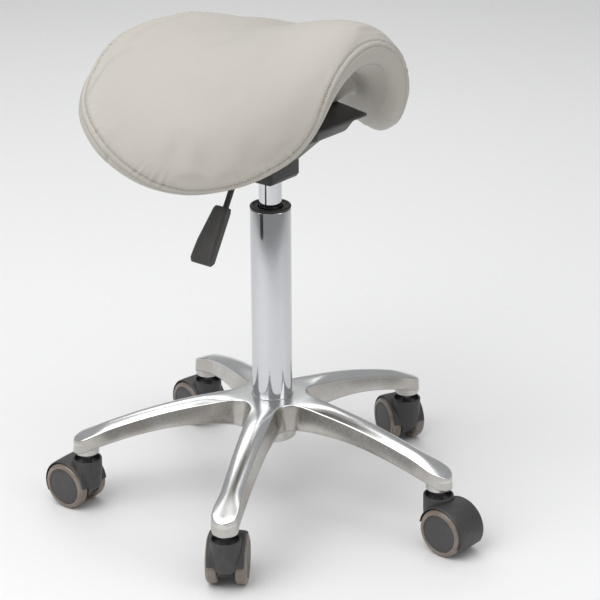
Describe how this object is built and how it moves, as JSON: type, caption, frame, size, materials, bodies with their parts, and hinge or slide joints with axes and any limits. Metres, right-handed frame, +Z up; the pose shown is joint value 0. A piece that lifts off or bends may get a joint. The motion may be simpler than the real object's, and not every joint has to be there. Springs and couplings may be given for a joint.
{
  "type": "saddle stool",
  "caption": "Height-adjustable swivel saddle stool: padded saddle seat on a chrome gas-lift column, with a polished star base, twin-wheel castors and a release lever.",
  "frame": {"origin": "on the floor under the middle of the whole stool's bounding box", "axes": "+Z up; the sitter faces -Y, so +X is the sitter's left and the release lever is on the -X side; the column's axis is at x = -21.1 mm, y = 12.3 mm"},
  "size_m": [0.5116, 0.554, 0.6322],
  "materials": {
    "leatherette": "matte",
    "underside_cloth": "matte",
    "moulded_shell": "satin",
    "polished_aluminium": "polished",
    "chrome_tube": "polished",
    "bright_steel": "satin",
    "black_painted_steel": "satin",
    "black_plastic": "satin",
    "castor_hood_plastic": "satin",
    "castor_disc_plastic": "satin",
    "tread_polyurethane": "gloss",
    "buffer_rubber": "matte"
  },
  "bodies": {
    "base": {"star_base": "polished_aluminium", "column_tube": "chrome_tube", "column_collar": "black_plastic", "guide_sleeve": "black_plastic", "bearing_race_lower": "bright_steel", "castor_stem_1": "bright_steel", "castor_stem_2": "bright_steel", "castor_stem_3": "bright_steel", "castor_stem_4": "bright_steel", "castor_stem_5": "bright_steel"},
    "swivel": {"piston_rod": "bright_steel", "retaining_clip": "bright_steel", "bearing_race_upper": "bright_steel", "bearing_ball_cage": "bright_steel", "rubber_buffer": "buffer_rubber"},
    "lift": {"gas_cylinder": "chrome_tube", "mechanism_housing": "black_painted_steel", "tilt_pin": "bright_steel"},
    "valve": {"valve_pin": "bright_steel"},
    "lever": {"lever_rod": "black_painted_steel", "lever_handle": "black_plastic"},
    "seat": {"upper_bracket": "black_painted_steel", "seat_plate": "black_painted_steel", "seat_bolt_1": "bright_steel", "seat_bolt_2": "bright_steel", "seat_bolt_3": "bright_steel", "seat_bolt_4": "bright_steel", "seat_shell": "moulded_shell", "seat_under_cover": "underside_cloth", "seat_cushion": "leatherette"},
    "castor_1": {"castor_hood_1": "castor_hood_plastic", "castor_axle_1": "bright_steel"},
    "wheel_1_left": {"wheel_core_1_left": "castor_disc_plastic", "wheel_tread_1_left": "tread_polyurethane"},
    "wheel_1_right": {"wheel_core_1_right": "castor_disc_plastic", "wheel_tread_1_right": "tread_polyurethane"},
    "castor_2": {"castor_hood_2": "castor_hood_plastic", "castor_axle_2": "bright_steel"},
    "wheel_2_left": {"wheel_core_2_left": "castor_disc_plastic", "wheel_tread_2_left": "tread_polyurethane"},
    "wheel_2_right": {"wheel_core_2_right": "castor_disc_plastic", "wheel_tread_2_right": "tread_polyurethane"},
    "castor_3": {"castor_hood_3": "castor_hood_plastic", "castor_axle_3": "bright_steel"},
    "wheel_3_left": {"wheel_core_3_left": "castor_disc_plastic", "wheel_tread_3_left": "tread_polyurethane"},
    "wheel_3_right": {"wheel_core_3_right": "castor_disc_plastic", "wheel_tread_3_right": "tread_polyurethane"},
    "castor_4": {"castor_hood_4": "castor_hood_plastic", "castor_axle_4": "bright_steel"},
    "wheel_4_left": {"wheel_core_4_left": "castor_disc_plastic", "wheel_tread_4_left": "tread_polyurethane"},
    "wheel_4_right": {"wheel_core_4_right": "castor_disc_plastic", "wheel_tread_4_right": "tread_polyurethane"},
    "castor_5": {"castor_hood_5": "castor_hood_plastic", "castor_axle_5": "bright_steel"},
    "wheel_5_left": {"wheel_core_5_left": "castor_disc_plastic", "wheel_tread_5_left": "tread_polyurethane"},
    "wheel_5_right": {"wheel_core_5_right": "castor_disc_plastic", "wheel_tread_5_right": "tread_polyurethane"}
  },
  "joints": [
    {"name": "seat_swivel", "type": "hinge", "parent": "base", "child": "swivel", "pos_m": [-0.02106, 0.01235, 0.1], "axis": [0, 0, 1], "continuous": true},
    {"name": "height_lift", "type": "slide", "parent": "swivel", "child": "lift", "axis": [0, 0, 1], "range_m": [0, 0.19]},
    {"name": "lever_pull", "type": "hinge", "parent": "lift", "child": "lever", "pos_m": [-0.04306, 0.01235, 0.478], "axis": [0, 1, 0], "range_deg": [0, 8], "stiffness_Nm_per_rad": 1},
    {"name": "valve_press", "type": "slide", "parent": "lift", "child": "valve", "axis": [0, 0, -1], "range_m": [0, 0.0036]},
    {"name": "seat_tilt", "type": "hinge", "parent": "lift", "child": "seat", "pos_m": [-0.02106, -0.05365, 0.503], "axis": [-1, 0, 0], "range_deg": [-3, 9]},
    {"name": "castor_swivel_1", "type": "hinge", "parent": "base", "child": "castor_1", "pos_m": [0.21, -0.03047, 0.07], "axis": [0, 0, 1], "continuous": true},
    {"name": "wheel_spin_1_left", "type": "hinge", "parent": "castor_1", "child": "wheel_1_left", "pos_m": [0.21986, -0.01193, 0.03], "axis": [-0.8829, 0.4695, 0], "continuous": true},
    {"name": "wheel_spin_1_right", "type": "hinge", "parent": "castor_1", "child": "wheel_1_right", "pos_m": [0.21986, -0.01193, 0.03], "axis": [-0.8829, 0.4695, 0], "continuous": true},
    {"name": "castor_swivel_2", "type": "hinge", "parent": "base", "child": "castor_2", "pos_m": [0.09107, 0.21887, 0.07], "axis": [0, 0, 1], "continuous": true},
    {"name": "wheel_spin_2_left", "type": "hinge", "parent": "castor_2", "child": "wheel_2_left", "pos_m": [0.09543, 0.23941, 0.03], "axis": [-0.9781, 0.2079, 0], "continuous": true},
    {"name": "wheel_spin_2_right", "type": "hinge", "parent": "castor_2", "child": "wheel_2_right", "pos_m": [0.09543, 0.23941, 0.03], "axis": [-0.9781, 0.2079, 0], "continuous": true},
    {"name": "castor_swivel_3", "type": "hinge", "parent": "base", "child": "castor_3", "pos_m": [-0.18283, 0.18281, 0.07], "axis": [0, 0, 1], "continuous": true},
    {"name": "wheel_spin_3_left", "type": "hinge", "parent": "castor_3", "child": "wheel_3_left", "pos_m": [-0.18356, 0.2038, 0.03], "axis": [-0.9994, -0.0349, 0], "continuous": true},
    {"name": "wheel_spin_3_right", "type": "hinge", "parent": "castor_3", "child": "wheel_3_right", "pos_m": [-0.18356, 0.2038, 0.03], "axis": [-0.9994, -0.0349, 0], "continuous": true},
    {"name": "castor_swivel_4", "type": "hinge", "parent": "base", "child": "castor_4", "pos_m": [-0.23317, -0.08882, 0.07], "axis": [0, 0, 1], "continuous": true},
    {"name": "wheel_spin_4_left", "type": "hinge", "parent": "castor_4", "child": "wheel_4_left", "pos_m": [-0.21576, -0.07708, 0.03], "axis": [-0.5592, 0.829, 0], "continuous": true},
    {"name": "wheel_spin_4_right", "type": "hinge", "parent": "castor_4", "child": "wheel_4_right", "pos_m": [-0.21576, -0.07708, 0.03], "axis": [-0.5592, 0.829, 0], "continuous": true},
    {"name": "castor_swivel_5", "type": "hinge", "parent": "base", "child": "castor_5", "pos_m": [0.00961, -0.22064, 0.07], "axis": [0, 0, 1], "continuous": true},
    {"name": "wheel_spin_5_left", "type": "hinge", "parent": "castor_5", "child": "wheel_5_left", "pos_m": [0.00778, -0.24156, 0.03], "axis": [0.9962, -0.0872, 0], "continuous": true},
    {"name": "wheel_spin_5_right", "type": "hinge", "parent": "castor_5", "child": "wheel_5_right", "pos_m": [0.00778, -0.24156, 0.03], "axis": [0.9962, -0.0872, 0], "continuous": true}
  ],
  "couplings": [
    {"joint": "valve_press", "follows": "lever_pull", "m_per_rad": 0.0245}
  ]
}
